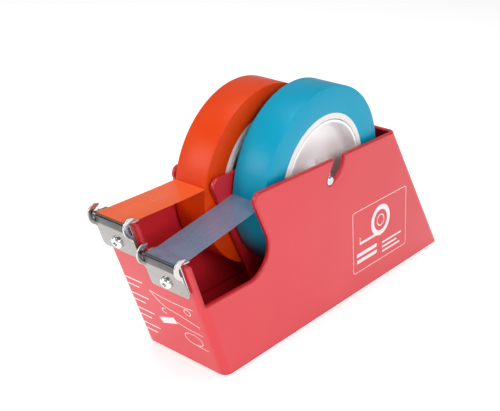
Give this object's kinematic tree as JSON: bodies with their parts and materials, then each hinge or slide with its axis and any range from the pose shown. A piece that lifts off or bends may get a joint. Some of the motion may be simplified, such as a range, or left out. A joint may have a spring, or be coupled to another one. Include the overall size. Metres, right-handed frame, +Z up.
{
  "type": "tape dispenser",
  "caption": "Weighted bench tape dispenser: a wedge housing with side-by-side wells for narrow tape rolls on lift-out axles, and stepped serrated cutters.",
  "frame": {"origin": "middle of the underside, on the plane the feet stand on", "axes": "+Z up, front with the cutters towards -Y, +X to the right seen from the front"},
  "size_m": [0.066, 0.2956, 0.1554],
  "materials": {
    "housing": "glossy moulded red plastic",
    "base_plate": "dark satin painted steel sheet",
    "ballast": "raw dark iron slab",
    "foot": "black rubber",
    "base_screw": "zinc plated steel",
    "tape_rest": "polished steel sheet",
    "blade": "ground spring steel with cut teeth",
    "cutter_guard": "bright nickel plated steel sheet",
    "cutter_screw": "bright plated steel",
    "cutter_washer": "zinc plated steel",
    "cutter_nut": "zinc plated steel",
    "axle": "turned bright steel",
    "retaining_ring": "dark spring steel",
    "hub": "white moulded plastic",
    "core": "white paper tube",
    "tape_right": "wound blue film",
    "tape_left": "wound orange film",
    "strip_right": "single layer of see-through blue film",
    "strip_left": "single layer of orange film"
  },
  "bodies": {
    "dispenser": {"housing": "housing", "base_plate": "base_plate", "ballast": "ballast", "base_screws": "base_screw", "cutter_screws": "cutter_screw", "cutter_washers": "cutter_washer", "cutter_nuts": "cutter_nut", "foot_front_left": "foot", "foot_front_right": "foot", "foot_rear_left": "foot", "foot_rear_right": "foot", "tape_rest_left": "tape_rest", "blade_left": "blade", "cutter_guard_left": "cutter_guard", "strip_left": "strip_left", "tape_rest_right": "tape_rest", "blade_right": "blade", "cutter_guard_right": "cutter_guard", "strip_right": "strip_right"},
    "axle_set_right": {"axle_right": "axle", "retaining_rings_right": "retaining_ring"},
    "roll_right": {"hub_right": "hub", "core_right": "core", "tape_right": "tape_right"},
    "axle_set_left": {"axle_left": "axle", "retaining_rings_left": "retaining_ring"},
    "roll_left": {"hub_left": "hub", "core_left": "core", "tape_left": "tape_left"}
  },
  "joints": [
    {"name": "lift_right", "type": "slide", "parent": "dispenser", "child": "axle_set_right", "axis": [0, 0.4848, 0.8746], "range_m": [0, 0.022]},
    {"name": "spin_right", "type": "hinge", "parent": "axle_set_right", "child": "roll_right", "pos_m": [0.0153, -0.00602, 0.0964], "axis": [1, 0, 0], "continuous": true},
    {"name": "lift_left", "type": "slide", "parent": "dispenser", "child": "axle_set_left", "axis": [0, 0.4848, 0.8746], "range_m": [0, 0.022]},
    {"name": "spin_left", "type": "hinge", "parent": "axle_set_left", "child": "roll_left", "pos_m": [-0.0153, -0.02402, 0.0964], "axis": [1, 0, 0], "continuous": true}
  ]
}
